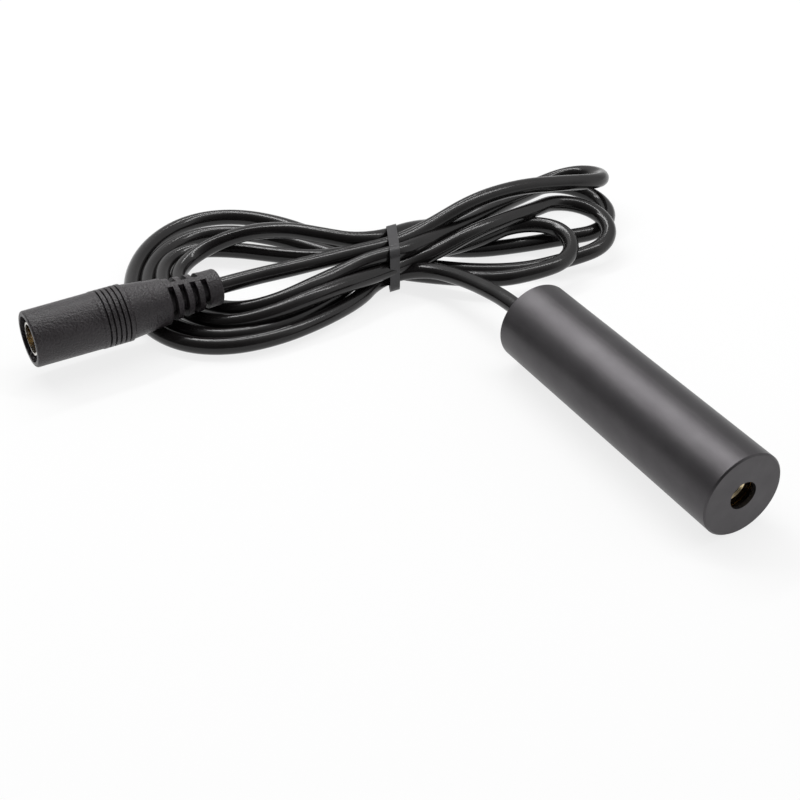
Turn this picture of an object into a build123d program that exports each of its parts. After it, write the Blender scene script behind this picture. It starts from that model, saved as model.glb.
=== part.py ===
from build123d import *
import math
import os

# A laser diode module: a turned barrel with its lens, diode and driver inside, on a cord that is
# tied into a hank and ends in an in-line DC socket. Millimetres, +X is the way the beam leaves,
# +Z is up, and the origin is on the floor under the middle of the barrel.

# Fits
SLIP = 0.05
CAN_CLEARANCE = 0.3

# Barrel
BARREL_DIAMETER = 16.0
BARREL_LENGTH = 60.0
BARREL_WALL = 1.7
BARREL_CHAMFER = 0.3
FRONT_WALL = 2.4
APERTURE_DIAMETER = 5.3
APERTURE_LAND = 0.8
APERTURE_FLARE = 8.4

# Rear cap, grommet and the ferrule crimped on the cable inside
CAP_SEAT = 0.7
CAP_RIM = 2.0
CAP_PLUG = 3.0
GROMMET_DIAMETER = 6.0
GROMMET_FLANGE_DIAMETER = 7.8
GROMMET_FLANGE = 1.2
FERRULE_DIAMETER = 7.4
FERRULE_LENGTH = 3.6
CABLE_STUB = 1.2

# Lens cell and what it holds
CELL_WALL = 0.85
CELL_LENGTH = 6.0
CELL_RECESS = 0.3
LIP_OVERLAP = 1.2
CELL_LIP = 0.7
LENS_RIM = 1.4
DOME_CLEARANCE = 0.15
LENS_DOME = 0.9
RETAINER_LENGTH = 1.0
RETAINER_WALL = 0.5
SPRING_WIRE = 0.5
SPRING_CLEARANCE = 0.55
SPRING_TURNS = 3
SPRING_SPACE = 2.7

# Diode holder and diode
HOLDER_WALL = 1.7
HOLDER_WEB = 3.2
HOLDER_CHAMFER = 0.3
DIODE_FLANGE_DIAMETER = 5.6
DIODE_FLANGE = 1.2
CAN_DIAMETER = 3.6
CAN_LENGTH = 2.3
WINDOW_DIAMETER = 1.6
WINDOW_DEPTH = 0.25
RING_DIAMETER = 8.0
RING_BORE = 4.2
RING_LENGTH = 1.6
LEAD_DIAMETER = 0.45
LEAD_LENGTH = 6.5
LEAD_SPREAD = 1.4

# Driver board, its parts and its sleeve
BOARD_LENGTH = 16.0
BOARD_THICKNESS = 1.0
BOARD_GAP = 1.0
SLEEVE_WALL = 0.3
SLEEVE_OVERHANG = 0.8
SOLDER = 0.02
CHIP_LENGTH = 4.9
CHIP_WIDTH = 3.9
CHIP_HEIGHT = 1.4
CHIP_STANDOFF = 0.1
CHIP_SPAN = 6.0
CHIP_LEG_PITCH = 1.27
CHIP_LEG_WIDTH = 0.4
CHIP_LEG_THICKNESS = 0.2
CHIP_LEGS_PER_SIDE = 4
CHIP_PLACE = 6.7
CAPACITOR_SIZE = (1.25, 2.0, 1.1)
CAPACITOR_SPREAD = 4.4
REAR_PARTS_PLACE = 3.4
RESISTOR_SIZE = (0.8, 1.6, 0.45)
RESISTOR_COUNT = 3
RESISTOR_PITCH = 2.4
RESISTOR_PLACE = 4.6
TRIMMER_SIDE = 3.0
TRIMMER_HEIGHT = 1.1
TRIMMER_ROTOR_DIAMETER = 2.3
TRIMMER_ROTOR = 0.5
TRIMMER_SLOT = 0.4
TRIMMER_PLACE = 7.2
REVERSE_DIODE_SIZE = (1.6, 2.7, 1.1)
REVERSE_DIODE_OFFSET = -2.4
CORE_DIAMETER = 1.2
CORE_SPACING = 1.7
SOLDERED_LENGTH = 2.2
CORE_BEND = 1.5

# In-line DC socket, measured along its own axis from the mouth
JACK_MOUTH_DIAMETER = 11.0
JACK_RIM_ROUND = 0.45
JACK_FRONT_LENGTH = 13.4
GRIP_DIAMETER = 11.4
GRIP_STEP = 0.3
GRIP_LAND = 0.4
GROOVE_COUNT = 5
GROOVE_PITCH = 1.0
GROOVE_WIDTH = 0.36
GROOVE_DEPTH = 0.45
REAR_START_DIAMETER = 10.9
REAR_STEP_PLACE = 4.7
REAR_STEP_DIAMETER = 10.0
REAR_STEP = 0.12
REAR_END_DIAMETER = 9.3
REAR_LENGTH = 8.3
RELIEF_START_DIAMETER = 8.6
RELIEF_CORE_DIAMETER = 4.8
SLOT_COUNT = 4
SLOT_PITCH = 2.33
SLOT_WIDTH = 1.2
SLOT_LAND = 0.15
SPINE_ANGLE = 16.0
RELIEF_ROLL = 15.0
COLLAR_DIAMETER = 7.4
COLLAR_LENGTH = 2.9
COLLAR_ROUND = 0.6
REAR_ROUND = 0.3
INSERT_DIAMETER = 9.0
INSERT_SETBACK = 3.0
INSERT_LENGTH = 11.8
INSERT_WALL = 3.4
CONTACT_DIAMETER = 6.5
CONTACT_BORE = 5.7
CONTACT_PROUD = 2.5
CONTACT_SLIT = 0.4
TAB_WIDTH = 0.8
TAB_LENGTH = 2.4
PIN_DIAMETER = 2.1
PIN_SETBACK = 2.2
PIN_SHANK_DIAMETER = 2.6
PIN_TAIL_DIAMETER = 0.9
TERMINAL_POCKET = 4.4
CABLE_GRIP = 11.2

# Where the socket lies: level, with its rear on the turns of the cord
JACK_MOUTH_X = -70.75
JACK_MOUTH_Y = -86.77
JACK_MOUTH_Z = 8.7
JACK_TILT = -0.7
JACK_YAW = 91.3

# Cord: its section, the middle of the tie, and the outer shape of the tied turns
CORD_DIAMETER = 3.4
TIE_X = -68.4
TIE_Y = -9.6
TIE_THICKNESS = 0.5
TIE_WIDTH = 2.1
TIE_SKEW = -25.0
TIE_TWIST_LENGTH = 8.0
TIE_TWIST_ANGLE = 540.0
TIE_TWIST_TILT = 50.0
TIE_TWIST_YAW = 205.0
WAIST_WIDTH = 10.1
WAIST_HEIGHT = 9.8
WAIST_LENGTH = 10.0
WAIST_ROUND = 1.7
LOBE_CHAMFER = 1.0
LEFT_CENTER = (-83.4, -41.0)
LEFT_RADII = (26.8, 22.8)
LEFT_OPENING_CENTER = (-82.0, -39.0)
LEFT_OPENING_RADII = (12.5, 11.5)
LEFT_OPENING_END = (-71.5, -21.5)
LEFT_TIP_HEIGHT = 3.2
LEFT_NECK_HEIGHT = 6.4
RIGHT_CENTER = (-64.2, 22.0)
RIGHT_RADII = (16.9, 25.6)
RIGHT_OPENING_CENTER = (-64.0, 22.5)
RIGHT_OPENING_RADII = (6.0, 13.0)
RIGHT_OPENING_END = (-67.0, 4.5)
RIGHT_NEAR_HEIGHT = 3.6
OPENING_END_RADIUS = 1.2
EXIT_POINTS = [(-37.0, 0.0, 8.0), (-51.0, -2.3, 6.0), (-65.2, -8.7, 2.9)]
TAIL_REACH = 4.6
TAIL_POINTS = [(-70.2, -28.0, 8.7), (-68.6, -13.4, 8.6)]

# Places along the barrel, worked out from its two ends
AXIS_HEIGHT = BARREL_DIAMETER / 2
FRONT_X = BARREL_LENGTH / 2
REAR_X = -BARREL_LENGTH / 2
HOLDER_FRONT = FRONT_X - FRONT_WALL
CELL_FRONT = HOLDER_FRONT - CELL_RECESS
CELL_REAR = CELL_FRONT - CELL_LENGTH
SPRING_SEAT = CELL_REAR - SPRING_SPACE
DIODE_SEAT = SPRING_SEAT - HOLDER_WEB
DIODE_BACK = DIODE_SEAT - DIODE_FLANGE
HOLDER_REAR = DIODE_BACK - RING_LENGTH
BOARD_FRONT = HOLDER_REAR - BOARD_GAP
BOARD_REAR = BOARD_FRONT - BOARD_LENGTH
CAP_INNER = REAR_X + CAP_RIM + CAP_PLUG
FERRULE_INNER = CAP_INNER + FERRULE_LENGTH
CABLE_END = FERRULE_INNER + CABLE_STUB
GROMMET_OUTER = REAR_X - GROMMET_FLANGE
BORE_RADIUS = BARREL_DIAMETER / 2 - BARREL_WALL
CAP_SEAT_RADIUS = BORE_RADIUS + CAP_SEAT
HOLDER_RADIUS = BORE_RADIUS - SLIP
CELL_RADIUS = HOLDER_RADIUS - HOLDER_WALL - SLIP
LENS_RADIUS = CELL_RADIUS - CELL_WALL - SLIP
OPENING_RADIUS = LENS_RADIUS - LIP_OVERLAP
SPRING_RADIUS = CELL_RADIUS - SPRING_CLEARANCE - SPRING_WIRE / 2
CORD_RADIUS = CORD_DIAMETER / 2
CORE_OFFSET = CORE_SPACING / 2

# Places along the socket
GRIP_START = JACK_FRONT_LENGTH
GRIP_END = GRIP_START + 2 * GRIP_LAND + GROOVE_COUNT * GROOVE_PITCH
RELIEF_START = GRIP_END + REAR_LENGTH
RELIEF_END = RELIEF_START + (SLOT_COUNT - 1) * SLOT_PITCH + SLOT_WIDTH + 2 * SLOT_LAND
JACK_LENGTH = RELIEF_END + COLLAR_LENGTH
INSERT_END = INSERT_SETBACK + INSERT_LENGTH
CONTACT_END = INSERT_END - INSERT_WALL
POCKET_END = INSERT_END + TERMINAL_POCKET
JACK_CABLE_END = JACK_LENGTH - CABLE_GRIP
TAB_INNER = PIN_TAIL_DIAMETER / 2 + CORE_DIAMETER
TAB_OUTER = math.sqrt((CONTACT_DIAMETER / 2) ** 2 - (TAB_WIDTH / 2) ** 2)
JACK_CORE_OFFSET = (PIN_TAIL_DIAMETER + CORE_DIAMETER) / 2


def turned(*points):
    """A solid turned about the barrel's axis from an (along, radius) outline."""
    outline = make_face(Polyline(*points, close=True))
    return Pos(0, 0, AXIS_HEIGHT) * revolve(Plane.XZ * outline, Axis.X)


def turned_jack(*points):
    """A solid turned about the socket's own axis from a (radius, along) outline."""
    outline = make_face(Polyline(*points, close=True))
    return revolve(Plane.XZ * outline, Axis.Z)


def rod(diameter, start, end):
    """A plain round rod on the socket's axis."""
    return Pos(0, 0, start) * extrude(Circle(diameter / 2), amount=end - start)


def barrel_housing():
    outer = BARREL_DIAMETER / 2
    edge = BARREL_CHAMFER
    hole = APERTURE_DIAMETER / 2
    flare = APERTURE_FLARE / 2
    rim = CAP_SEAT_RADIUS
    return turned(
        (FRONT_X, hole),
        (FRONT_X, outer - edge),
        (FRONT_X - edge, outer),
        (REAR_X + edge, outer),
        (REAR_X, outer - edge),
        (REAR_X, rim),
        (REAR_X + CAP_RIM, rim),
        (REAR_X + CAP_RIM, BORE_RADIUS),
        (HOLDER_FRONT, BORE_RADIUS),
        (HOLDER_FRONT, flare),
        (FRONT_X - APERTURE_LAND, hole),
    )


def rear_cap():
    hole = GROMMET_DIAMETER / 2
    rim = CAP_SEAT_RADIUS - SLIP
    plug = BORE_RADIUS - SLIP
    return turned(
        (REAR_X, hole),
        (REAR_X, rim - BARREL_CHAMFER),
        (REAR_X + BARREL_CHAMFER, rim),
        (REAR_X + CAP_RIM, rim),
        (REAR_X + CAP_RIM, plug),
        (CAP_INNER, plug),
        (CAP_INNER, hole),
    )


def cable_grommet():
    bore = CORD_RADIUS + SLIP
    body = GROMMET_DIAMETER / 2 - SLIP
    flange = GROMMET_FLANGE_DIAMETER / 2
    round_edge = GROMMET_FLANGE / 2
    return turned(
        (GROMMET_OUTER, bore),
        (GROMMET_OUTER, flange - round_edge),
        (GROMMET_OUTER + round_edge, flange),
        (REAR_X, flange),
        (REAR_X, body),
        (CAP_INNER, body),
        (CAP_INNER, bore),
    )


def cable_ferrule():
    bore = CORD_RADIUS + SLIP
    outer = FERRULE_DIAMETER / 2
    return turned((CAP_INNER, bore), (CAP_INNER, outer), (FERRULE_INNER, outer), (FERRULE_INNER, bore))


def lens_cell():
    outer = CELL_RADIUS
    opening = OPENING_RADIUS
    bore = LENS_RADIUS + SLIP
    lip_back = CELL_FRONT - CELL_LIP
    return turned(
        (CELL_FRONT, opening + CELL_LIP / 2),
        (CELL_FRONT, outer - HOLDER_CHAMFER),
        (CELL_FRONT - HOLDER_CHAMFER, outer),
        (CELL_REAR, outer),
        (CELL_REAR, bore),
        (lip_back, bore),
        (lip_back, opening),
        (CELL_FRONT - CELL_LIP / 2, opening),
    )


def collimating_lens():
    front = CELL_FRONT - CELL_LIP
    back = front - LENS_RIM
    rim = LENS_RADIUS
    dome = OPENING_RADIUS - DOME_CLEARANCE
    ball = (dome**2 + LENS_DOME**2) / (2 * LENS_DOME)
    half_angle = math.asin(dome / ball) / 2
    crown = ball * math.cos(half_angle) - ball + LENS_DOME
    arc = ThreePointArc((front, dome), (front + crown, ball * math.sin(half_angle)), (front + LENS_DOME, 0))
    sides = Polyline((front + LENS_DOME, 0), (back, 0), (back, rim), (front, rim), (front, dome))
    return Pos(0, 0, AXIS_HEIGHT) * revolve(Plane.XZ * make_face(arc + sides), Axis.X)


def lens_retainer():
    front = CELL_FRONT - CELL_LIP - LENS_RIM
    back = front - RETAINER_LENGTH
    outer = LENS_RADIUS
    bore = outer - RETAINER_WALL
    return turned((front, bore), (front, outer), (back, outer), (back, bore))


def lens_spring():
    rise = SPRING_SPACE - SPRING_WIRE - 2 * SLIP
    start = SPRING_SEAT + SPRING_WIRE / 2 + SLIP
    path = Helix(rise / SPRING_TURNS, rise, SPRING_RADIUS)
    section = Plane(path @ 0, z_dir=path % 0) * Circle(SPRING_WIRE / 2)
    coil = sweep(section, path=path, is_frenet=True)
    return Pos(start, 0, AXIS_HEIGHT) * Rot(0, 90, 0) * coil


def diode_holder():
    outer = HOLDER_RADIUS
    cell = CELL_RADIUS + SLIP
    can = CAN_DIAMETER / 2 + CAN_CLEARANCE
    flange = DIODE_FLANGE_DIAMETER / 2 + SLIP
    ring = RING_DIAMETER / 2 + SLIP
    return turned(
        (HOLDER_FRONT, cell),
        (HOLDER_FRONT, outer - HOLDER_CHAMFER),
        (HOLDER_FRONT - HOLDER_CHAMFER, outer),
        (HOLDER_REAR + HOLDER_CHAMFER, outer),
        (HOLDER_REAR, outer - HOLDER_CHAMFER),
        (HOLDER_REAR, ring),
        (DIODE_BACK, ring),
        (DIODE_BACK, flange),
        (DIODE_SEAT, flange),
        (DIODE_SEAT, can),
        (SPRING_SEAT, can),
        (SPRING_SEAT, cell),
    )


def laser_diode():
    window = DIODE_SEAT + CAN_LENGTH
    return turned(
        (DIODE_BACK, 0),
        (DIODE_BACK, DIODE_FLANGE_DIAMETER / 2),
        (DIODE_SEAT, DIODE_FLANGE_DIAMETER / 2),
        (DIODE_SEAT, CAN_DIAMETER / 2),
        (window, CAN_DIAMETER / 2),
        (window, WINDOW_DIAMETER / 2),
        (window - WINDOW_DEPTH, WINDOW_DIAMETER / 2),
        (window - WINDOW_DEPTH, 0),
    )


def diode_leads():
    """Two leads on top of the board and one under it."""
    height = BOARD_THICKNESS / 2 + LEAD_DIAMETER / 2 + SOLDER
    places = ((LEAD_SPREAD / 2, height), (-LEAD_SPREAD / 2, height), (0, -height))
    lead = Rot(0, -90, 0) * extrude(Circle(LEAD_DIAMETER / 2), amount=LEAD_LENGTH)
    return [Pos(DIODE_BACK, y, AXIS_HEIGHT + z) * lead for y, z in places]


def diode_ring():
    outer = RING_DIAMETER / 2
    bore = RING_BORE / 2
    return turned((DIODE_BACK, bore), (DIODE_BACK, outer), (HOLDER_REAR, outer), (HOLDER_REAR, bore))


def sleeve_bore():
    return BORE_RADIUS - SLIP - SLEEVE_WALL


def insulating_sleeve():
    front = HOLDER_REAR
    back = BOARD_REAR - SLEEVE_OVERHANG
    outer = BORE_RADIUS - SLIP
    return turned((front, sleeve_bore()), (front, outer), (back, outer), (back, sleeve_bore()))


def on_board(along, across, side):
    """A place on the board, measured from its front edge; side is 1 for the top and -1 for under it."""
    height = AXIS_HEIGHT + side * (BOARD_THICKNESS / 2 + SOLDER)
    turn = Rot(0, 0, 0) if side > 0 else Rot(180, 0, 0)
    return Pos(BOARD_FRONT - along, across, height) * turn


def block(size):
    """A small part with softened corners that stands on z = 0."""
    body = Pos(0, 0, size[2] / 2) * Box(*size)
    return fillet(body.edges().filter_by(Axis.Z), min(size) / 6)


def driver_board():
    half_width = math.sqrt(sleeve_bore() ** 2 - (BOARD_THICKNESS / 2) ** 2) - SLIP
    center = (BOARD_FRONT + BOARD_REAR) / 2
    return Pos(center, 0, AXIS_HEIGHT) * Box(BOARD_LENGTH, 2 * half_width, BOARD_THICKNESS)


def driver_chip():
    body = Pos(0, 0, CHIP_STANDOFF + CHIP_HEIGHT / 2) * Box(CHIP_LENGTH, CHIP_WIDTH, CHIP_HEIGHT)
    body = chamfer(body.edges().group_by(Axis.Z)[-1], CHIP_HEIGHT / 8)
    side = CHIP_WIDTH / 2
    foot = CHIP_SPAN / 2
    knee = (side + foot) / 2
    thick = CHIP_LEG_THICKNESS
    top = CHIP_STANDOFF + CHIP_HEIGHT / 2
    outline = Polyline(
        (side, top),
        (knee, top),
        (knee + thick / 2, thick),
        (foot, thick),
        (foot, 0),
        (knee - thick / 2, 0),
        (knee - thick, top - thick),
        (side, top - thick),
        close=True,
    )
    leg = extrude(Plane.YZ * make_face(outline), amount=CHIP_LEG_WIDTH / 2, both=True)
    first = -CHIP_LEG_PITCH * (CHIP_LEGS_PER_SIDE - 1) / 2
    for i in range(CHIP_LEGS_PER_SIDE):
        placed = Pos(first + i * CHIP_LEG_PITCH, 0, 0) * leg
        body += placed
        body += mirror(placed, Plane.XZ)
    return on_board(CHIP_PLACE, 0, 1) * body


def trim_potentiometer():
    base = block((TRIMMER_SIDE, TRIMMER_SIDE, TRIMMER_HEIGHT))
    rotor = Pos(0, 0, TRIMMER_HEIGHT) * extrude(Circle(TRIMMER_ROTOR_DIAMETER / 2), amount=TRIMMER_ROTOR)
    slot_height = TRIMMER_HEIGHT + TRIMMER_ROTOR
    for angle in (0, 90):
        slot = Box(TRIMMER_ROTOR_DIAMETER, TRIMMER_SLOT, TRIMMER_ROTOR)
        rotor -= Pos(0, 0, slot_height) * Rot(0, 0, angle) * slot
    return on_board(TRIMMER_PLACE, 0, -1) * (base + rotor)


def filter_capacitors():
    """Two capacitors side by side on top of the board, just ahead of the soldered cores."""
    along = BOARD_LENGTH - REAR_PARTS_PLACE
    body = block(CAPACITOR_SIZE)
    return Compound([on_board(along, side * CAPACITOR_SPREAD / 2, 1) * body for side in (1, -1)])


def sense_resistors():
    """A row of resistors across the underside of the board."""
    first = -RESISTOR_PITCH * (RESISTOR_COUNT - 1) / 2
    body = block(RESISTOR_SIZE)
    places = [first + i * RESISTOR_PITCH for i in range(RESISTOR_COUNT)]
    return Compound([on_board(RESISTOR_PLACE, across, -1) * body for across in places])


def reverse_diode():
    """The diode that guards against a reversed supply, under the board beside the soldered cores."""
    return on_board(BOARD_LENGTH - REAR_PARTS_PLACE, REVERSE_DIODE_OFFSET, -1) * block(REVERSE_DIODE_SIZE)


def supply_wire(side):
    """A core from the stripped cable to the board, on top of it for side 1 and under it for side -1."""
    height = AXIS_HEIGHT + side * (BOARD_THICKNESS / 2 + CORE_DIAMETER / 2 + SOLDER)
    across = side * CORE_OFFSET
    points = [
        (CABLE_END, across, AXIS_HEIGHT),
        (CABLE_END + CORE_BEND, across, AXIS_HEIGHT),
        (BOARD_REAR - CORE_BEND, across, height),
        (BOARD_REAR + SOLDERED_LENGTH, across, height),
    ]
    path = FilletPolyline(*points, radius=CORE_BEND)
    return sweep(Plane(path @ 0, z_dir=path % 0) * Circle(CORE_DIAMETER / 2), path=path)


def jack_outline():
    """The outside of the moulding, as (radius, along) from the mouth to the cord's end."""
    grip = GRIP_DIAMETER / 2
    points = [
        (JACK_MOUTH_DIAMETER / 2, 0),
        ((JACK_MOUTH_DIAMETER + GRIP_DIAMETER) / 4, GRIP_START - GRIP_STEP),
        (grip, GRIP_START),
    ]
    for i in range(GROOVE_COUNT):
        middle = GRIP_START + GRIP_LAND + (i + 0.5) * GROOVE_PITCH
        points += [
            (grip, middle - GROOVE_WIDTH / 2),
            (grip - GROOVE_DEPTH, middle - GROOVE_WIDTH / 6),
            (grip - GROOVE_DEPTH, middle + GROOVE_WIDTH / 6),
            (grip, middle + GROOVE_WIDTH / 2),
        ]
    points += [
        (grip, GRIP_END),
        (REAR_START_DIAMETER / 2, GRIP_END + GRIP_STEP),
        (REAR_STEP_DIAMETER / 2, GRIP_END + REAR_STEP_PLACE),
        (REAR_STEP_DIAMETER / 2 - REAR_STEP, GRIP_END + REAR_STEP_PLACE + REAR_STEP),
        (REAR_END_DIAMETER / 2, RELIEF_START),
        (RELIEF_START_DIAMETER / 2, RELIEF_START),
        (COLLAR_DIAMETER / 2, RELIEF_END),
        (COLLAR_DIAMETER / 2, JACK_LENGTH),
    ]
    return points


def round_edge(body, along, diameter):
    """The round edge of a turned body at one place along its axis."""
    rings = body.edges().filter_by(GeomType.CIRCLE)
    at_place = [e for e in rings if abs(e.arc_center.Z - along) < SLIP]
    return [e for e in at_place if abs(e.radius - diameter / 2) < SLIP]


def relief_slot(turn):
    """A slot round one side of the strain relief, between its two spines and down to its core."""
    reach = REAR_START_DIAMETER
    half = math.radians(90 - SPINE_ANGLE / 2)
    edge = (reach * math.cos(half), reach * math.sin(half))
    outline = Polyline((0, 0), edge, (reach, reach), (reach, -reach), (edge[0], -edge[1]), close=True)
    wedge = extrude(make_face(outline), amount=SLOT_WIDTH)
    return Rot(0, 0, turn) * (wedge - rod(RELIEF_CORE_DIAMETER, 0, SLOT_WIDTH))


def jack_body():
    bore = INSERT_DIAMETER / 2
    pocket = CONTACT_DIAMETER / 2 + SLIP
    body = turned_jack((0, 0), *jack_outline(), (0, JACK_LENGTH))
    body = fillet(round_edge(body, 0, JACK_MOUTH_DIAMETER), JACK_RIM_ROUND)
    body = fillet(round_edge(body, RELIEF_START, REAR_END_DIAMETER), REAR_ROUND)
    body = fillet(round_edge(body, JACK_LENGTH, COLLAR_DIAMETER), COLLAR_ROUND)
    body -= rod(2 * bore, 0, INSERT_END)
    body -= rod(2 * pocket, INSERT_END, POCKET_END)
    body -= rod(CORD_DIAMETER + 2 * SLIP, JACK_CABLE_END, JACK_LENGTH)
    for side in (1, -1):
        core = rod(CORE_DIAMETER + 2 * SLIP, POCKET_END, JACK_CABLE_END)
        body -= Pos(0, side * JACK_CORE_OFFSET, 0) * core
    for i in range(SLOT_COUNT):
        start = RELIEF_START + SLOT_LAND + i * SLOT_PITCH
        body -= Pos(0, 0, start) * relief_slot(RELIEF_ROLL + 90)
        if i < SLOT_COUNT - 1:
            body -= Pos(0, 0, start + SLOT_PITCH / 2) * relief_slot(RELIEF_ROLL - 90)
    return body


def jack_insert():
    body = rod(INSERT_DIAMETER - 2 * SLIP, INSERT_SETBACK, INSERT_END)
    body -= rod(CONTACT_DIAMETER + 2 * SLIP, INSERT_SETBACK, CONTACT_END)
    body -= rod(PIN_SHANK_DIAMETER + 2 * SLIP, CONTACT_END, INSERT_END)
    radial = TAB_OUTER - TAB_INNER + 2 * SLIP
    slot = Box(TAB_WIDTH + 2 * SLIP, radial, INSERT_WALL)
    return body - Pos(0, -TAB_INNER + SLIP - radial / 2, CONTACT_END + INSERT_WALL / 2) * slot


def jack_contact_sleeve():
    """The rolled sleeve with its slit, and the solder tab that leaves it at the rear."""
    start = INSERT_SETBACK - CONTACT_PROUD
    length = CONTACT_END - start
    sleeve = rod(CONTACT_DIAMETER, start, CONTACT_END) - rod(CONTACT_BORE, start, CONTACT_END)
    slit = Box(CONTACT_SLIT, CONTACT_DIAMETER, length)
    sleeve -= Pos(0, CONTACT_DIAMETER / 2, start + length / 2) * slit
    tab_length = INSERT_WALL + TAB_LENGTH
    web = (CONTACT_DIAMETER - CONTACT_BORE) / 2
    radial = TAB_OUTER - TAB_INNER
    tab = Box(TAB_WIDTH, radial, tab_length)
    tab = Pos(0, -TAB_INNER - radial / 2, CONTACT_END + tab_length / 2) * tab
    root = Pos(0, -TAB_OUTER + web / 2, CONTACT_END) * Box(TAB_WIDTH, web, 2 * web)
    return sleeve + root + tab


def jack_center_pin():
    tip = PIN_DIAMETER / 4
    radius = PIN_DIAMETER / 2
    shank = PIN_SHANK_DIAMETER / 2
    tail = PIN_TAIL_DIAMETER / 2
    return turned_jack(
        (0, PIN_SETBACK),
        (radius - tip, PIN_SETBACK),
        (radius, PIN_SETBACK + tip),
        (radius, CONTACT_END),
        (shank, CONTACT_END),
        (shank, INSERT_END),
        (tail, INSERT_END),
        (tail, INSERT_END + TAB_LENGTH),
        (0, INSERT_END + TAB_LENGTH),
    )


def jack_wire(side):
    """A core beside its terminal, from the stripped end of the cable."""
    core = rod(CORE_DIAMETER, INSERT_END + SLIP, JACK_CABLE_END)
    return Pos(0, side * JACK_CORE_OFFSET, 0) * core


def jack_place():
    """The socket's own frame: origin in the mouth, +Z towards the cord, +X up."""
    tilt = math.radians(JACK_TILT)
    yaw = math.radians(JACK_YAW)
    along = (math.cos(tilt) * math.cos(yaw), math.cos(tilt) * math.sin(yaw), math.sin(tilt))
    upward = (-math.sin(tilt) * math.cos(yaw), -math.sin(tilt) * math.sin(yaw), math.cos(tilt))
    return Plane(origin=(JACK_MOUTH_X, JACK_MOUTH_Y, JACK_MOUTH_Z), x_dir=upward, z_dir=along)


def cord_tube(name, points):
    """A round tube along straight runs joined by the largest arcs that they allow."""
    corners = [Vector(p) for p in points]
    radii = []
    for before, here, after in zip(corners, corners[1:], corners[2:]):
        turn = (here - before).get_angle(after - here)
        run = min((here - before).length, (after - here).length)
        radii.append(0.45 * run / math.tan(math.radians(turn) / 2))
    path = FilletPolyline(*points, radius=radii)
    tube = sweep(Plane(path @ 0, z_dir=path % 0) * Circle(CORD_RADIUS), path=path)
    share = tube.volume / (math.pi * CORD_RADIUS**2 * path.length)
    print(name, "radii", [round(r, 1) for r in radii])
    print(name, "length", round(path.length, 1), "volume", round(share, 4))
    return tube


def waist(extra):
    """The bundle where the tie holds it, grown by extra all round its section."""
    width = WAIST_WIDTH + 2 * extra
    height = WAIST_HEIGHT + 2 * extra
    section = RectangleRounded(width, height, WAIST_ROUND + extra)
    middle = TIE_THICKNESS + WAIST_HEIGHT / 2
    return Pos(TIE_X, TIE_Y, middle) * extrude(Plane.XZ * section, amount=WAIST_LENGTH / 2, both=True)


def lobe(center, radii, opening_center, opening_radii, opening_end, waist_y):
    """One end of the hank seen from above: a loop that narrows to the tie, open in the middle."""
    half = WAIST_WIDTH / 2
    neck = Line((TIE_X - half, waist_y), (TIE_X + half, waist_y))
    outside = make_hull((Pos(*center) * Ellipse(*radii)).edges() + [neck])
    tip = Pos(*opening_end) * Circle(OPENING_END_RADIUS)
    inside = make_hull((Pos(*opening_center) * Ellipse(*opening_radii)).edges() + tip.edges())
    return outside - inside


def slope(plane, start, end, width):
    """A prism under a line from one (place, height) to another, to give a lobe its height."""
    outline = Polyline((start[0], 0), start, end, (end[0], 0), close=True)
    return extrude(plane * make_face(outline), amount=width, both=True)


def cord_hank():
    top = TIE_THICKNESS + WAIST_HEIGHT
    left_end = TIE_Y - WAIST_LENGTH / 2
    right_end = TIE_Y + WAIST_LENGTH / 2
    left = lobe(LEFT_CENTER, LEFT_RADII, LEFT_OPENING_CENTER, LEFT_OPENING_RADII, LEFT_OPENING_END, left_end)
    right = lobe(
        RIGHT_CENTER, RIGHT_RADII, RIGHT_OPENING_CENTER, RIGHT_OPENING_RADII, RIGHT_OPENING_END, right_end
    )
    reach = max(LEFT_RADII + RIGHT_RADII) * 2
    left_slope = slope(
        Plane.YZ.offset(LEFT_CENTER[0]),
        (LEFT_CENTER[1] - LEFT_RADII[1], LEFT_TIP_HEIGHT),
        (left_end, LEFT_NECK_HEIGHT),
        reach,
    )
    right_slope = slope(
        Plane.XZ.offset(-RIGHT_CENTER[1]),
        (RIGHT_CENTER[0] - RIGHT_RADII[0], top),
        (RIGHT_CENTER[0] + RIGHT_RADII[0], RIGHT_NEAR_HEIGHT),
        reach,
    )
    lobes = []
    for outline, under in ((left, left_slope), (right, right_slope)):
        body = extrude(outline, amount=top) & under
        upper = body.faces().sort_by(Axis.Z)[-1]
        lobes.append(chamfer(upper.edges(), LOBE_CHAMFER))
    return waist(0) + lobes[0] + lobes[1]


def cable_tie():
    """A flat strip round the bundle, its two ends twisted together on the far side."""
    slab = Rot(0, 0, TIE_SKEW) * Box(4 * WAIST_WIDTH, TIE_WIDTH, 4 * WAIST_HEIGHT)
    strap = (waist(TIE_THICKNESS) & (Pos(TIE_X, TIE_Y, 0) * slab)) - waist(0)
    far = -(WAIST_WIDTH / 2 + TIE_THICKNESS)
    skew = math.radians(TIE_SKEW)
    root = (
        TIE_X + far,
        TIE_Y + far * math.tan(skew),
        TIE_THICKNESS + WAIST_HEIGHT - WAIST_ROUND,
    )
    tilt = math.radians(TIE_TWIST_TILT)
    yaw = math.radians(TIE_TWIST_YAW)
    along = Vector(math.cos(tilt) * math.cos(yaw), math.cos(tilt) * math.sin(yaw), -math.sin(tilt))
    start = Plane(origin=root, z_dir=along)
    face = (start * Rectangle(TIE_WIDTH, 2 * TIE_THICKNESS)).face()
    twist = Solid.extrude_linear_with_rotation(face, root, along * TIE_TWIST_LENGTH, TIE_TWIST_ANGLE)
    return strap + (Part() + twist - waist(0))


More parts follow.
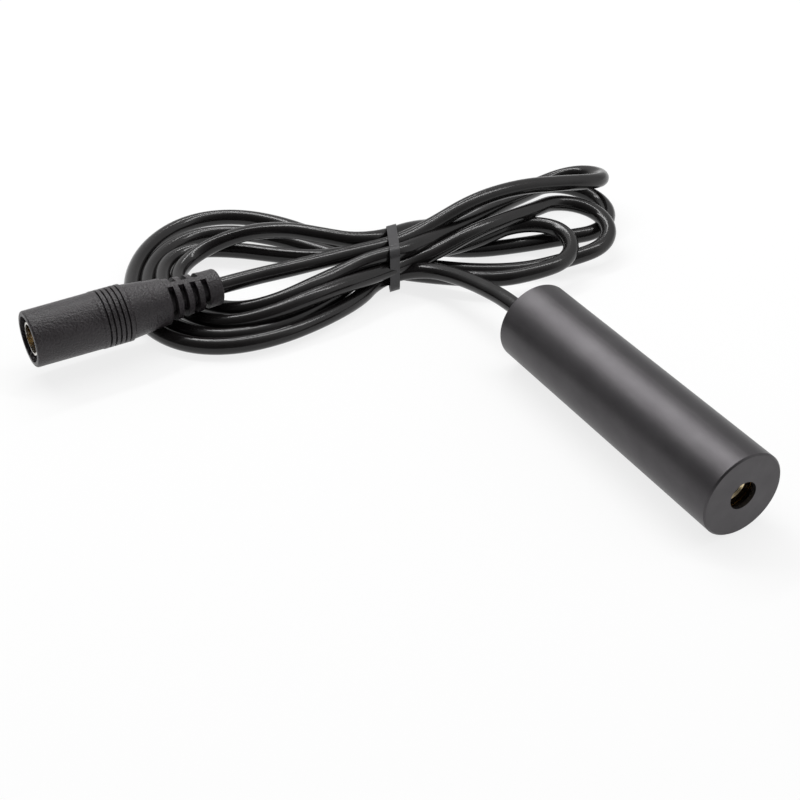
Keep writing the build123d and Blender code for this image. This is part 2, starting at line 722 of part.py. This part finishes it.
jack = jack_place()
hank = cord_hank()
exit_route = [(CABLE_END, 0.0, AXIS_HEIGHT), *EXIT_POINTS]
jack_start = jack.from_local_coords(Vector(0, 0, JACK_CABLE_END))
jack_out = jack.from_local_coords(Vector(0, 0, JACK_LENGTH + TAIL_REACH))
tail_route = [tuple(jack_start), tuple(jack_out), *TAIL_POINTS]

parts = {
    "barrel_housing": barrel_housing(),
    "rear_cap": rear_cap(),
    "cable_grommet": cable_grommet(),
    "cable_ferrule": cable_ferrule(),
    "lens_cell": lens_cell(),
    "collimating_lens": collimating_lens(),
    "lens_retainer": lens_retainer(),
    "lens_spring": lens_spring(),
    "diode_holder": diode_holder(),
    "laser_diode": laser_diode(),
    "diode_leads": Compound(diode_leads()),
    "diode_ring": diode_ring(),
    "insulating_sleeve": insulating_sleeve(),
    "driver_board": driver_board(),
    "driver_chip": driver_chip(),
    "filter_capacitors": filter_capacitors(),
    "sense_resistors": sense_resistors(),
    "trim_potentiometer": trim_potentiometer(),
    "reverse_diode": reverse_diode(),
    "supply_wire_red": supply_wire(1),
    "supply_wire_black": supply_wire(-1),
    "jack_body": jack.location * jack_body(),
    "jack_insert": jack.location * jack_insert(),
    "jack_contact_sleeve": jack.location * jack_contact_sleeve(),
    "jack_center_pin": jack.location * jack_center_pin(),
    "jack_wire_red": jack.location * jack_wire(1),
    "jack_wire_black": jack.location * jack_wire(-1),
    "cord_exit": cord_tube("cord_exit", exit_route) - hank,
    "cord_hank": hank,
    "cord_tail": cord_tube("cord_tail", tail_route) - hank,
    "cable_tie": cable_tie(),
}

os.makedirs("parts", exist_ok=True)
for name, shape in parts.items():
    export_step(shape, f"parts/{name}.step")
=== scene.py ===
import math
from collections import namedtuple

import bpy
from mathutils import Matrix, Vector


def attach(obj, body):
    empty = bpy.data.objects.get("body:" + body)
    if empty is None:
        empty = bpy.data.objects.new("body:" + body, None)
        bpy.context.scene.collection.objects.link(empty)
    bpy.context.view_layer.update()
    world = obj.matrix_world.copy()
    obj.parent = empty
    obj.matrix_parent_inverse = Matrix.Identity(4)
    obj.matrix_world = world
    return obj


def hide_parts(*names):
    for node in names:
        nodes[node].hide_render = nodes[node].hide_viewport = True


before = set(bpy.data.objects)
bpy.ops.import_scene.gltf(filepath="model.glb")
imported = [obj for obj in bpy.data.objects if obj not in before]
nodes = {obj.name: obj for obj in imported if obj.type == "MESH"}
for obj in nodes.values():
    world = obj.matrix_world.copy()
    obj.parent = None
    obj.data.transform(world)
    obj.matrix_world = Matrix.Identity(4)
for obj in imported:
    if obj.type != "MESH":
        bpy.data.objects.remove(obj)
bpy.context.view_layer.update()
scene = bpy.context.scene
MM = 0.001
MICRON = 0.000001


def aim(obj, place, target):
    """Stand a camera or a lamp at a place, in metres, and turn it to a target."""
    obj.location = place
    obj.rotation_mode = "QUATERNION"
    obj.rotation_quaternion = (Vector(target) - Vector(place)).to_track_quat("-Z", "Y")


# Camera at the photograph's viewing angle
camera_data = bpy.data.cameras.new("camera")
camera_data.lens = 62.48
camera_data.sensor_width = 36.0
camera_data.clip_start = 0.01
camera = bpy.data.objects.new("camera", camera_data)
scene.collection.objects.link(camera)
aim(camera, place=(0.15260, -0.13373, 0.15251), target=(-0.02994, -0.02978, 0.0))
scene.camera = camera

# Cord, in mm: out of the barrel, through the hank's turns and into the socket
CORD_DIAMETER = 3.4
EXIT_ROUTE = [
    (-20.2, 0.0, 8.0), (-37.0, 0.0, 8.0), (-46.5, -1.0, 7.2),
    (-54.0, -2.4, 6.2), (-60.6, -4.9, 5.1), (-65.6, -9.4, 3.4),
]
TAIL_ROUTE = [(-69.4, -20.0, 8.7), (-69.8, -31.5, 8.7), (-71.74, -43.29, 8.17), (-71.38, -59.09, 8.36)]

# The tie, how far from its middle the turns spread, and where each pass of the cord lies in it
TIE = (-68.4, -9.6)
NECK = 2.0
PITCH = 3.35
LOW, MIDDLE, HIGH = 2.2, 5.4, 8.6
Pass = namedtuple("Pass", "across along height")
PASSES = [
    Pass(2.2, -5.6, LOW), Pass(0.0, 0.0, LOW), Pass(0.0, 0.0, MIDDLE),
    Pass(-PITCH, 0.0, LOW), Pass(PITCH, 0.0, MIDDLE), Pass(-PITCH, 0.0, MIDDLE),
    Pass(PITCH, 0.0, HIGH), Pass(-PITCH, 0.0, HIGH), Pass(0.0, 0.0, HIGH),
]

# Wide loops on one side of the tie, with the heights of near leg, tip and far leg
Loop = namedtuple("Loop", "length lean width neck bend swell heights")
LOOPS = [
    Loop(length=53.3, lean=-27.7, width=35.1, neck=0.97, bend=-1.1, swell=-0.03, heights=(2.2, 1.9, 1.7)),
    Loop(length=49.9, lean=-21.2, width=34.1, neck=1.65, bend=-3.2, swell=-0.11, heights=(2.6, 1.7, 1.7)),
    Loop(length=45.7, lean=-12.7, width=14.2, neck=0.2, bend=-8.4, swell=0.35, heights=(6.7, 2.1, 1.7)),
    Loop(length=42.6, lean=-14.2, width=32.5, neck=3.4, bend=-8.2, swell=-0.26, heights=(7.0, 2.2, 9.7)),
]
# Steps round a loop, those left to the tie, and the share of its length over which its height settles
LOOP_STEPS = 18
TIE_STEPS = 2
LOOP_SETTLES = 0.35

# Narrow folds on its other side, with the bows of both legs and the heights of first leg, tip and second leg
Fold = namedtuple("Fold", "middle radius turn bows heights")
FOLDS = [
    Fold(middle=(-58.0, 18.2), radius=8.5, turn=9.5, bows=(6.4, 1.3), heights=(4.0, 6.4, 5.1)),
    Fold(middle=(-60.3, 30.4), radius=8.0, turn=6.7, bows=(4.9, 2.5), heights=(1.7, 6.1, 9.2)),
    Fold(middle=(-69.7, 35.5), radius=9.5, turn=0.0, bows=(-0.6, 0.6), heights=(1.7, 3.8, 7.4)),
    Fold(middle=(-76.2, 40.9), radius=-7.2, turn=-4.5, bows=(-3.5, -1.7), heights=(1.7, 7.2, 13.0)),
]
# Angles round a fold's end, points along its legs, and where a leg's height settles and leaves again
FOLD_ANGLES = (80, 40, 0, -40, -80)
LEG_SHARES = (0.14, 0.38, 0.62, 0.84)
LEG_SETTLES = 0.45
LEG_LEAVES = 0.65


def ease(share):
    share = min(max(share, 0.0), 1.0)
    return share * share * (3 - 2 * share)


def loop_points(loop, near_pass, far_pass):
    """Points round one wide loop: along its near leg, round its tip and back along its far leg.

    Neck draws the loop in towards the tie, bend shifts its tip aside and swell moves its widest place.
    """
    lean = math.radians(loop.lean)
    near_height, tip_height, far_height = loop.heights
    points = []
    for step in range(TIE_STEPS, LOOP_STEPS - TIE_STEPS + 1):
        angle = 2 * math.pi * step / LOOP_STEPS
        near = step <= LOOP_STEPS / 2
        tied = near_pass if near else far_pass
        leg = near_height if near else far_height
        out = (1 - math.cos(angle)) / 2
        along = loop.length * out
        bulge = math.sin(angle) - loop.swell * math.sin(2 * angle)
        apart = loop.width * bulge * math.sin(angle / 2) ** loop.neck + loop.bend * out * out
        x = TIE[0] + tied.across * (1 - out) + apart * math.cos(lean) + along * math.sin(lean)
        y = TIE[1] - NECK + apart * math.sin(lean) - along * math.cos(lean)
        z = tied.height + (leg - tied.height) * ease(out / LOOP_SETTLES)
        z += (tip_height - leg) * ease((out - LOOP_SETTLES) / (1 - LOOP_SETTLES))
        points.append((x, y, z))
    return points


def leg_points(start, end, bow, heights):
    """Points along one leg of a fold, from the tie to the fold."""
    run = (end[0] - start[0], end[1] - start[1])
    reach = math.hypot(*run)
    at_tie, leg, tip = heights
    points = []
    for share in LEG_SHARES:
        aside = bow * 4 * share * (1 - share) / reach
        x = start[0] + share * run[0] + aside * run[1]
        y = start[1] + share * run[1] - aside * run[0]
        z = at_tie + (leg - at_tie) * ease(share / LEG_SETTLES)
        z += (tip - leg) / 2 * ease((share - LEG_LEAVES) / (1 - LEG_LEAVES))
        points.append((x, y, z))
    return points


def fold_points(fold, first_pass, second_pass):
    """Points up the first leg of one narrow fold, round its end and down its second leg.

    The first leg is the near one, or the far one where the radius is below 0.
    """
    first_height, tip_height, second_height = fold.heights
    side = math.copysign(1, fold.radius)
    reach = abs(fold.radius) / math.cos(math.radians(FOLD_ANGLES[0] - FOLD_ANGLES[1]) / 2)
    end = []
    for angle in FOLD_ANGLES:
        leg = first_height if angle > 0 else second_height
        bearing = math.radians(side * angle - fold.turn)
        x = fold.middle[0] + reach * math.sin(bearing)
        y = fold.middle[1] + reach * math.cos(bearing)
        z = tip_height + (leg - tip_height) / 2 * abs(angle) / FOLD_ANGLES[0]
        end.append((x, y, z))
    starts = [(TIE[0] + tied.across, TIE[1] + NECK) for tied in (first_pass, second_pass)]
    first_heights = (first_pass.height, first_height, tip_height)
    second_heights = (second_pass.height, second_height, tip_height)
    first = leg_points(starts[0], end[0], fold.bows[0], first_heights)
    second = leg_points(starts[1], end[-1], fold.bows[1], second_heights)
    return first + end + second[::-1]


route = list(EXIT_ROUTE)
for number, tied in enumerate(PASSES):
    route.append((TIE[0] + tied.across, TIE[1] + tied.along, tied.height))
    if number == len(PASSES) - 1:
        route += TAIL_ROUTE
    elif number % 2 == 0:
        route += loop_points(LOOPS[number // 2], tied, PASSES[number + 1])
    else:
        route += fold_points(FOLDS[number // 2], tied, PASSES[number + 1])

cord_data = bpy.data.curves.new("cord", "CURVE")
cord_data.dimensions = "3D"
cord_data.bevel_depth = 1.0
cord_data.bevel_resolution = 7
cord_data.use_fill_caps = True
spline = cord_data.splines.new("NURBS")
spline.points.add(len(route) - 1)
for point, place in zip(spline.points, route):
    point.co = (place[0] * MM, place[1] * MM, place[2] * MM, 1.0)
    point.radius = CORD_DIAMETER / 2 * MM
spline.order_u = 3
spline.use_endpoint_u = True
spline.resolution_u = 8
cord = bpy.data.objects.new("power_cord", cord_data)
scene.collection.objects.link(cord)
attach(cord, "root")
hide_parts("cord_exit", "cord_hank", "cord_tail")

# Material nodes: places in metres, noise scales per metre
AXIS_HEIGHT = 8.0 * MM
PATCHES = (220.0, 220.0, 220.0)
LONG_PATCHES = (160.0, 260.0, 260.0)
NOISE_BAND = (0.25, 0.75)


def new_material(name):
    material = bpy.data.materials.new(name)
    material.use_nodes = True
    tree = material.node_tree
    return material, tree, tree.nodes["Principled BSDF"]


def link(tree, out, into):
    tree.links.new(out, into)


def place_parts(tree):
    """The place on the object in the row frame, as X, Y and Z."""
    place = tree.nodes.new("ShaderNodeTexCoord")
    parts = tree.nodes.new("ShaderNodeSeparateXYZ")
    link(tree, place.outputs["Object"], parts.inputs[0])
    return parts.outputs


def scaled(tree, vector, scale):
    mapping = tree.nodes.new("ShaderNodeMapping")
    mapping.inputs["Scale"].default_value = scale
    link(tree, vector, mapping.inputs["Vector"])
    return mapping.outputs["Vector"]


def scaled_place(tree, scale):
    """The place on the object in the row frame, times scale in each direction."""
    place = tree.nodes.new("ShaderNodeTexCoord")
    return scaled(tree, place.outputs["Object"], scale)


def turned_place(tree, scale):
    """Place along the barrel's axis and away from it, so that a noise gives the marks of turning."""
    parts = place_parts(tree)
    height = tree.nodes.new("ShaderNodeMath")
    height.operation = "SUBTRACT"
    height.inputs[1].default_value = AXIS_HEIGHT
    link(tree, parts["Z"], height.inputs[0])
    section = tree.nodes.new("ShaderNodeCombineXYZ")
    link(tree, parts["Y"], section.inputs["X"])
    link(tree, height.outputs[0], section.inputs["Y"])
    radius = tree.nodes.new("ShaderNodeVectorMath")
    radius.operation = "LENGTH"
    link(tree, section.outputs[0], radius.inputs[0])
    both = tree.nodes.new("ShaderNodeCombineXYZ")
    link(tree, parts["X"], both.inputs["X"])
    link(tree, radius.outputs["Value"], both.inputs["Y"])
    return scaled(tree, both.outputs[0], (scale, scale, scale))


def noise(tree, vector, detail=3.0, roughness=0.55):
    texture = tree.nodes.new("ShaderNodeTexNoise")
    texture.inputs["Scale"].default_value = 1.0
    texture.inputs["Detail"].default_value = detail
    texture.inputs["Roughness"].default_value = roughness
    link(tree, vector, texture.inputs["Vector"])
    return texture.outputs["Fac"]


def ramp(tree, value, dark, light, low=0.3, high=0.7):
    colours = tree.nodes.new("ShaderNodeValToRGB")
    colours.color_ramp.elements[0].position = low
    colours.color_ramp.elements[0].color = (*dark, 1.0)
    colours.color_ramp.elements[1].position = high
    colours.color_ramp.elements[1].color = (*light, 1.0)
    link(tree, value, colours.inputs["Fac"])
    return colours.outputs["Color"]


def spread(tree, value, ends, band=NOISE_BAND):
    """Stretch a value's band, by default that of a noise, to run from one end to the other."""
    change = tree.nodes.new("ShaderNodeMapRange")
    change.inputs["From Min"].default_value = band[0]
    change.inputs["From Max"].default_value = band[1]
    change.inputs["To Min"].default_value = ends[0]
    change.inputs["To Max"].default_value = ends[1]
    link(tree, value, change.inputs["Value"])
    return change.outputs["Result"]


def bump(tree, shader, value, depth):
    node = tree.nodes.new("ShaderNodeBump")
    node.inputs["Strength"].default_value = 1.0
    node.inputs["Distance"].default_value = depth
    link(tree, value, node.inputs["Height"])
    link(tree, node.outputs["Normal"], shader.inputs["Normal"])


def moulded(name, dark, light, rough, grain, depth, specular=0.5):
    """Moulded plastic or rubber: a fine grain on the skin and a slow drift of tone and gloss."""
    material, tree, shader = new_material(name)
    slow = noise(tree, scaled_place(tree, PATCHES))
    fine = noise(tree, scaled_place(tree, (grain, grain, grain)), 2.0, 0.6)
    link(tree, ramp(tree, slow, dark, light), shader.inputs["Base Color"])
    link(tree, spread(tree, slow, rough), shader.inputs["Roughness"])
    shader.inputs["Specular IOR Level"].default_value = specular
    bump(tree, shader, fine, depth)
    return material


def turned(name, dark, light, rough, metal, rings, depth):
    """Turned metal: rings round the axis on its sides and faces."""
    material, tree, shader = new_material(name)
    marks = noise(tree, turned_place(tree, rings), 2.0, 0.6)
    slow = noise(tree, scaled_place(tree, LONG_PATCHES))
    link(tree, ramp(tree, slow, dark, light), shader.inputs["Base Color"])
    link(tree, spread(tree, marks, rough), shader.inputs["Roughness"])
    shader.inputs["Metallic"].default_value = metal
    bump(tree, shader, marks, depth)
    return material


def plated(name, dark, light, rough, grain, depth):
    """Drawn or plated metal with a fine uneven sheen."""
    material, tree, shader = new_material(name)
    fine = noise(tree, scaled_place(tree, (grain, grain, grain)))
    link(tree, ramp(tree, fine, dark, light), shader.inputs["Base Color"])
    link(tree, spread(tree, fine, rough), shader.inputs["Roughness"])
    shader.inputs["Metallic"].default_value = 1.0
    bump(tree, shader, fine, depth)
    return material


def sleeve_metal(name, bright, brass_tone, rim, rough, grain, depth):
    """Plated metal of the socket's sleeve: bright at its rim, going over to brass inside."""
    material, tree, shader = new_material(name)
    inward = spread(tree, place_parts(tree)["Y"], (0.0, 1.0), rim)
    fine = noise(tree, scaled_place(tree, (grain, grain, grain)))
    link(tree, ramp(tree, inward, bright, brass_tone, 0.2, 0.8), shader.inputs["Base Color"])
    link(tree, spread(tree, fine, rough), shader.inputs["Roughness"])
    shader.inputs["Metallic"].default_value = 1.0
    bump(tree, shader, fine, depth)
    return material


def coated_glass(name, tint, coat, rough, grain):
    """Clear glass with a tinted coat and a faint haze."""
    material, tree, shader = new_material(name)
    haze = noise(tree, scaled_place(tree, (grain, grain, grain)))
    link(tree, spread(tree, haze, rough), shader.inputs["Roughness"])
    shader.inputs["Base Color"].default_value = (*tint, 1.0)
    shader.inputs["Transmission Weight"].default_value = 1.0
    shader.inputs["IOR"].default_value = 1.52
    shader.inputs["Coat Weight"].default_value = 1.0
    shader.inputs["Coat Tint"].default_value = (*coat, 1.0)
    return material


# Metals and glass
anodised = turned(
    "anodised_aluminium", dark=(0.070, 0.066, 0.070), light=(0.084, 0.080, 0.084),
    rough=(0.36, 0.46), metal=0.85, rings=9000.0, depth=1.2 * MICRON,
)
brass = turned(
    "brass", dark=(0.68, 0.53, 0.29), light=(0.84, 0.70, 0.46),
    rough=(0.20, 0.34), metal=1.0, rings=7000.0, depth=2 * MICRON,
)
nickel = plated(
    "nickel", dark=(0.66, 0.63, 0.58), light=(0.80, 0.78, 0.73),
    rough=(0.14, 0.26), grain=1400.0, depth=1 * MICRON,
)
spring_steel = plated(
    "spring_steel", dark=(0.42, 0.42, 0.43), light=(0.60, 0.60, 0.61),
    rough=(0.22, 0.34), grain=2500.0, depth=2 * MICRON,
)
tinned = plated(
    "tinned_copper", dark=(0.62, 0.58, 0.52), light=(0.78, 0.74, 0.68),
    rough=(0.25, 0.38), grain=2500.0, depth=2 * MICRON,
)
contact = sleeve_metal(
    "contact_plate", bright=(0.80, 0.78, 0.73), brass_tone=(0.56, 0.38, 0.13),
    rim=(-86.1 * MM, -85.0 * MM), rough=(0.16, 0.30), grain=1400.0, depth=1 * MICRON,
)
lens_glass = coated_glass(
    "lens_glass", tint=(0.93, 0.96, 0.97), coat=(0.75, 0.85, 1.0), rough=(0.01, 0.05), grain=900.0,
)

# Plastics, rubber, ceramic and the board
jack_plastic = moulded(
    "jack_plastic", dark=(0.017, 0.0138, 0.0158), light=(0.029, 0.0238, 0.0272),
    rough=(0.30, 0.42), grain=2400.0, depth=220 * MICRON, specular=0.42,
)
insert_plastic = moulded(
    "insert_plastic", dark=(0.012, 0.012, 0.013), light=(0.020, 0.019, 0.021),
    rough=(0.35, 0.48), grain=3000.0, depth=10 * MICRON,
)
cord_pvc = moulded(
    "cord_pvc", dark=(0.0075, 0.0067, 0.0068), light=(0.0110, 0.0098, 0.0100),
    rough=(0.15, 0.21), grain=1100.0, depth=10 * MICRON, specular=0.4,
)
tie_plastic = moulded(
    "tie_plastic", dark=(0.022, 0.021, 0.023), light=(0.034, 0.032, 0.035),
    rough=(0.30, 0.42), grain=1500.0, depth=20 * MICRON,
)
grommet_rubber = moulded(
    "grommet_rubber", dark=(0.012, 0.012, 0.012), light=(0.020, 0.020, 0.020),
    rough=(0.55, 0.70), grain=3500.0, depth=20 * MICRON,
)
circuit_board = moulded(
    "circuit_board", dark=(0.012, 0.085, 0.030), light=(0.018, 0.115, 0.042),
    rough=(0.30, 0.42), grain=900.0, depth=20 * MICRON,
)
chip_plastic = moulded(
    "chip_plastic", dark=(0.010, 0.010, 0.011), light=(0.017, 0.017, 0.018),
    rough=(0.48, 0.62), grain=6000.0, depth=10 * MICRON,
)
ceramic = moulded(
    "ceramic", dark=(0.48, 0.36, 0.24), light=(0.58, 0.45, 0.31),
    rough=(0.42, 0.55), grain=3000.0, depth=10 * MICRON,
)
trimmer_plastic = moulded(
    "trimmer_plastic", dark=(0.05, 0.13, 0.34), light=(0.07, 0.17, 0.42),
    rough=(0.35, 0.46), grain=3000.0, depth=10 * MICRON,
)
sleeve_film = moulded(
    "sleeve_film", dark=(0.60, 0.44, 0.13), light=(0.70, 0.52, 0.17),
    rough=(0.25, 0.36), grain=900.0, depth=20 * MICRON,
)
red_insulation = moulded(
    "red_insulation", dark=(0.38, 0.014, 0.012), light=(0.46, 0.020, 0.016),
    rough=(0.34, 0.44), grain=1500.0, depth=20 * MICRON,
)
black_insulation = moulded(
    "black_insulation", dark=(0.012, 0.012, 0.012), light=(0.018, 0.018, 0.018),
    rough=(0.34, 0.44), grain=1500.0, depth=20 * MICRON,
)

# Which node is made of what
DRESS = {
    anodised: ["barrel_housing", "rear_cap"],
    brass: ["lens_cell", "lens_retainer", "diode_holder", "diode_ring"],
    contact: ["jack_contact_sleeve"],
    nickel: ["jack_center_pin", "cable_ferrule", "laser_diode"],
    spring_steel: ["lens_spring"],
    tinned: ["diode_leads"],
    lens_glass: ["collimating_lens"],
    jack_plastic: ["jack_body"],
    insert_plastic: ["jack_insert"],
    tie_plastic: ["cable_tie"],
    grommet_rubber: ["cable_grommet"],
    circuit_board: ["driver_board"],
    chip_plastic: ["driver_chip", "reverse_diode"],
    ceramic: ["filter_capacitors", "sense_resistors"],
    trimmer_plastic: ["trim_potentiometer"],
    sleeve_film: ["insulating_sleeve"],
    red_insulation: ["supply_wire_red", "jack_wire_red"],
    black_insulation: ["supply_wire_black", "jack_wire_black"],
    cord_pvc: ["cord_exit", "cord_hank", "cord_tail"],
}
for material, names in DRESS.items():
    for name in names:
        nodes[name].data.materials.clear()
        nodes[name].data.materials.append(material)
cord_data.materials.append(cord_pvc)

# Floor: matt and pale, and mostly plain white where it is seen directly
FLOOR_HALF = 6.0
FLOOR_WHITE = 0.8
corners = [(x * FLOOR_HALF, y * FLOOR_HALF, 0) for x, y in ((-1, -1), (1, -1), (1, 1), (-1, 1))]
floor_data = bpy.data.meshes.new("floor")
floor_data.from_pydata(corners, [], [(0, 1, 2, 3)])
floor = bpy.data.objects.new("floor", floor_data)
scene.collection.objects.link(floor)


def seen_directly(tree):
    """1 for rays from the camera, or by way of a mirror or glass, and 0 for the rest."""
    path = tree.nodes.new("ShaderNodeLightPath")
    total = path.outputs["Is Camera Ray"]
    for kind in ("Is Glossy Ray", "Is Transmission Ray"):
        most = tree.nodes.new("ShaderNodeMath")
        most.operation = "MAXIMUM"
        link(tree, total, most.inputs[0])
        link(tree, path.outputs[kind], most.inputs[1])
        total = most.outputs[0]
    return total


floor_material, tree, shader = new_material("floor")
shader.inputs["Base Color"].default_value = (0.90, 0.90, 0.90, 1.0)
shader.inputs["Roughness"].default_value = 0.9
shader.inputs["Specular IOR Level"].default_value = 0.0
white = tree.nodes.new("ShaderNodeEmission")
white.inputs["Strength"].default_value = 1.0
share = tree.nodes.new("ShaderNodeMath")
share.operation = "MULTIPLY"
share.inputs[1].default_value = FLOOR_WHITE
link(tree, seen_directly(tree), share.inputs[0])
mix = tree.nodes.new("ShaderNodeMixShader")
link(tree, share.outputs[0], mix.inputs["Fac"])
link(tree, shader.outputs[0], mix.inputs[1])
link(tree, white.outputs[0], mix.inputs[2])
link(tree, mix.outputs[0], tree.nodes["Material Output"].inputs["Surface"])
floor_data.materials.append(floor_material)

# Studio: pale all round but for the side that the camera stands on, and white where it is seen directly
DARK_SIDE = (0.55, -0.83, 0.05)
TONES = [
    (0.0, 0.55), (0.10, 0.56), (0.20, 0.78), (0.375, 1.0), (0.50, 0.85),
    (0.57, 0.49), (0.65, 0.25), (0.80, 0.12), (1.0, 0.06),
]
MIX_FACTOR, MIX_FIRST, MIX_SECOND, MIX_RESULT = 0, 6, 7, 2
world = bpy.data.worlds.new("studio")
world.use_nodes = True
scene.world = world
tree = world.node_tree
direction = tree.nodes.new("ShaderNodeTexCoord")
toward = tree.nodes.new("ShaderNodeVectorMath")
toward.operation = "DOT_PRODUCT"
toward.inputs[1].default_value = DARK_SIDE
link(tree, direction.outputs["Generated"], toward.inputs[0])
tone = tree.nodes.new("ShaderNodeValToRGB")
while len(tone.color_ramp.elements) < len(TONES):
    tone.color_ramp.elements.new(0.5)
for element, (position, level) in zip(tone.color_ramp.elements, TONES):
    element.position = position
    element.color = (level, level, level, 1.0)
link(tree, spread(tree, toward.outputs["Value"], (0.0, 1.0), (-1.0, 1.0)), tone.inputs["Fac"])
path = tree.nodes.new("ShaderNodeLightPath")
pick = tree.nodes.new("ShaderNodeMix")
pick.data_type = "RGBA"
link(tree, path.outputs["Is Camera Ray"], pick.inputs[MIX_FACTOR])
link(tree, tone.outputs["Color"], pick.inputs[MIX_FIRST])
pick.inputs[MIX_SECOND].default_value = (1.0, 1.0, 1.0, 1.0)
link(tree, pick.outputs[MIX_RESULT], tree.nodes["Background"].inputs["Color"])


def strip_lamp(name, place, size, power):
    """A long soft lamp over the object, turned to the middle of it."""
    data = bpy.data.lights.new(name, "AREA")
    data.shape = "RECTANGLE"
    data.size, data.size_y = size
    data.energy = power
    lamp = bpy.data.objects.new(name, data)
    scene.collection.objects.link(lamp)
    aim(lamp, place, target=(-0.03, -0.02, 0.0))


strip_lamp("strip_over", place=(-0.16, 0.12, 0.60), size=(0.70, 0.05), power=1.6)
strip_lamp("strip_back", place=(-0.42, -0.06, 0.50), size=(0.60, 0.05), power=1.4)

# View
scene.view_settings.view_transform = "Standard"
